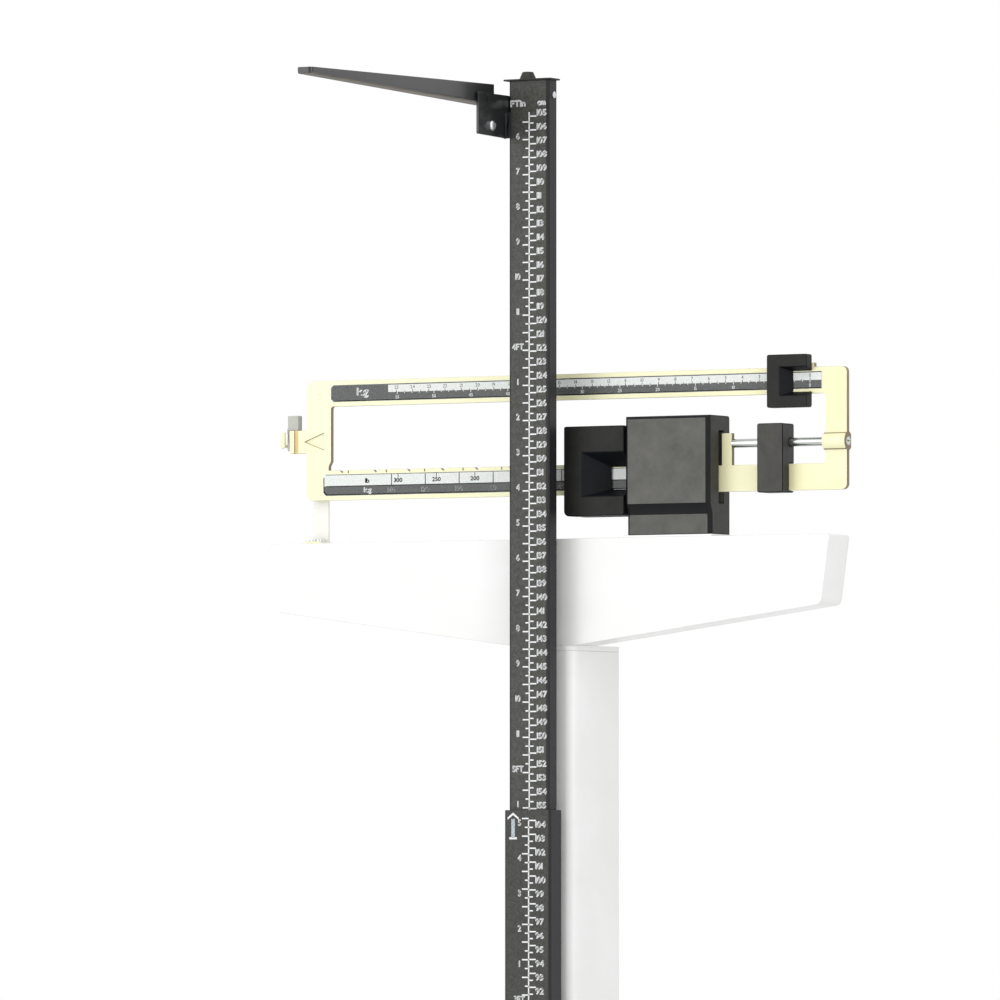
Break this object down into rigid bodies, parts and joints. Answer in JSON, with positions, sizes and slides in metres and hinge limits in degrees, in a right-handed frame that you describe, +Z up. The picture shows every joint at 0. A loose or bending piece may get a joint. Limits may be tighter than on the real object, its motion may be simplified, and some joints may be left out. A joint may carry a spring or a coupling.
{
  "type": "physician scale",
  "caption": "Mechanical physician scale: lever platform base, column, beam balance with sliding poises, and a telescopic height rod with a folding head arm.",
  "frame": {"origin": "on the floor, under the middle of the bounding box", "axes": "+X to the right along the beam, +Y away from the person on the platform, +Z up"},
  "size_m": [0.4735, 0.54, 1.6666],
  "materials": {
    "white_enamel": "glossy white enamel",
    "cream_enamel": "glossy ivory enamel on a casting",
    "satin_black": "satin black coating with white print",
    "gloss_black": "gloss black enamel",
    "dark_casting": "dark grey enamel on a casting",
    "black_rubber": "black rubber",
    "black_nylon": "black nylon",
    "zinc": "zinc plated steel",
    "bright_steel": "bright turned steel",
    "grey_steel": "grey primed iron and steel",
    "scale_plate": "printed aluminium strip"
  },
  "bodies": {
    "frame": {"base_tray": "white_enamel", "rubber_feet": "black_rubber", "foot_screws": "zinc", "wheel_axle": "bright_steel", "axle_clips": "zinc", "rear_deck": "white_enamel", "lever_stands": "grey_steel", "long_lever": "grey_steel", "short_lever": "grey_steel", "lever_pins": "bright_steel", "platform_posts": "grey_steel", "platform_pan": "white_enamel", "platform_mat": "black_rubber", "column_foot": "white_enamel", "column_bolts": "zinc", "column": "white_enamel", "column_cap": "white_enamel", "crosshead": "white_enamel", "crosshead_back": "white_enamel", "back_screws": "zinc", "carrier_frame": "grey_steel", "carrier_bolts": "zinc", "lever_hanger": "grey_steel", "hanger_pin": "bright_steel", "sleeve": "satin_black", "sleeve_bush": "black_nylon", "sleeve_brackets": "satin_black", "bracket_nuts": "zinc", "housing_base": "white_enamel", "fulcrum_housing": "dark_casting", "top_screws": "zinc", "fulcrum_bearings": "bright_steel", "index_plate": "cream_enamel"},
    "height_rod": {"inner_rod": "satin_black", "rod_shoe": "black_nylon", "rod_cap": "satin_black", "cap_screw": "zinc", "head_bracket": "satin_black", "bracket_rivets": "satin_black", "stop_screw": "zinc", "arm_pin": "satin_black"},
    "arm": {"head_arm": "gloss_black"},
    "weigh_beam": {"beam": "cream_enamel", "upper_scale": "scale_plate", "lower_scale": "scale_plate", "fulcrum_pivot": "bright_steel", "load_pivot": "bright_steel", "stop_pin": "bright_steel", "tongue_weight": "zinc"},
    "large_weight": {"large_poise": "dark_casting"},
    "small_weight": {"small_poise": "dark_casting"},
    "zero_weight": {"counterweight": "dark_casting"},
    "zero_adjuster": {"zero_screw": "bright_steel"},
    "load_stirrup": {"stirrup": "bright_steel", "stirrup_pin": "bright_steel"},
    "transfer": {"transfer_lever": "grey_steel"},
    "draft": {"draft_rod": "bright_steel", "draft_pin": "bright_steel"},
    "left_wheel": {"wheel_left": "black_rubber"},
    "right_wheel": {"wheel_right": "black_rubber"}
  },
  "joints": [
    {"name": "height_rod_slide", "type": "slide", "parent": "frame", "child": "height_rod", "axis": [0, 0, 1], "range_m": [-0.503, 0.347]},
    {"name": "arm_fold", "type": "hinge", "parent": "height_rod", "child": "arm", "pos_m": [-0.0209, 0.127, 1.6463], "axis": [1, 0, 0], "range_deg": [0, 90]},
    {"name": "beam_tilt", "type": "hinge", "parent": "frame", "child": "weigh_beam", "pos_m": [0.0891, 0.1965, 1.367], "axis": [0, 1, 0], "range_deg": [-0.9, 0.9]},
    {"name": "large_poise_slide", "type": "slide", "parent": "weigh_beam", "child": "large_weight", "axis": [1, 0, 0], "range_m": [-0.2009, 0]},
    {"name": "small_poise_slide", "type": "slide", "parent": "weigh_beam", "child": "small_weight", "axis": [1, 0, 0], "range_m": [-0.328, 0]},
    {"name": "zero_screw_turn", "type": "hinge", "parent": "weigh_beam", "child": "zero_adjuster", "pos_m": [0.2291, 0.1965, 1.3956], "axis": [1, 0, 0], "range_deg": [-2890, 2890]},
    {"name": "counterweight_slide", "type": "slide", "parent": "weigh_beam", "child": "zero_weight", "axis": [1, 0, 0], "range_m": [-0.008, 0.008]},
    {"name": "stirrup_slide", "type": "slide", "parent": "frame", "child": "load_stirrup", "axis": [0, 0, 1], "range_m": [-0.0003, 0.0003]},
    {"name": "transfer_lever_tilt", "type": "hinge", "parent": "frame", "child": "transfer", "pos_m": [-0.0629, 0.1965, 1.29], "axis": [0, 1, 0], "range_deg": [-0.1, 0.1]},
    {"name": "draft_rod_slide", "type": "slide", "parent": "frame", "child": "draft", "axis": [0, 0, 1], "range_m": [-0.00011, 0.00011]},
    {"name": "left_wheel_spin", "type": "hinge", "parent": "frame", "child": "left_wheel", "pos_m": [-0.1089, 0.243, 0.027], "axis": [1, 0, 0], "continuous": true},
    {"name": "right_wheel_spin", "type": "hinge", "parent": "frame", "child": "right_wheel", "pos_m": [0.1031, 0.243, 0.027], "axis": [1, 0, 0], "continuous": true}
  ],
  "couplings": [
    {"joint": "zero_screw_turn", "follows": "counterweight_slide", "rad_per_m": -6283.2},
    {"joint": "stirrup_slide", "follows": "beam_tilt", "m_per_rad": -0.018},
    {"joint": "transfer_lever_tilt", "follows": "beam_tilt", "ratio": 0.10588},
    {"joint": "draft_rod_slide", "follows": "beam_tilt", "m_per_rad": -0.0063529}
  ]
}
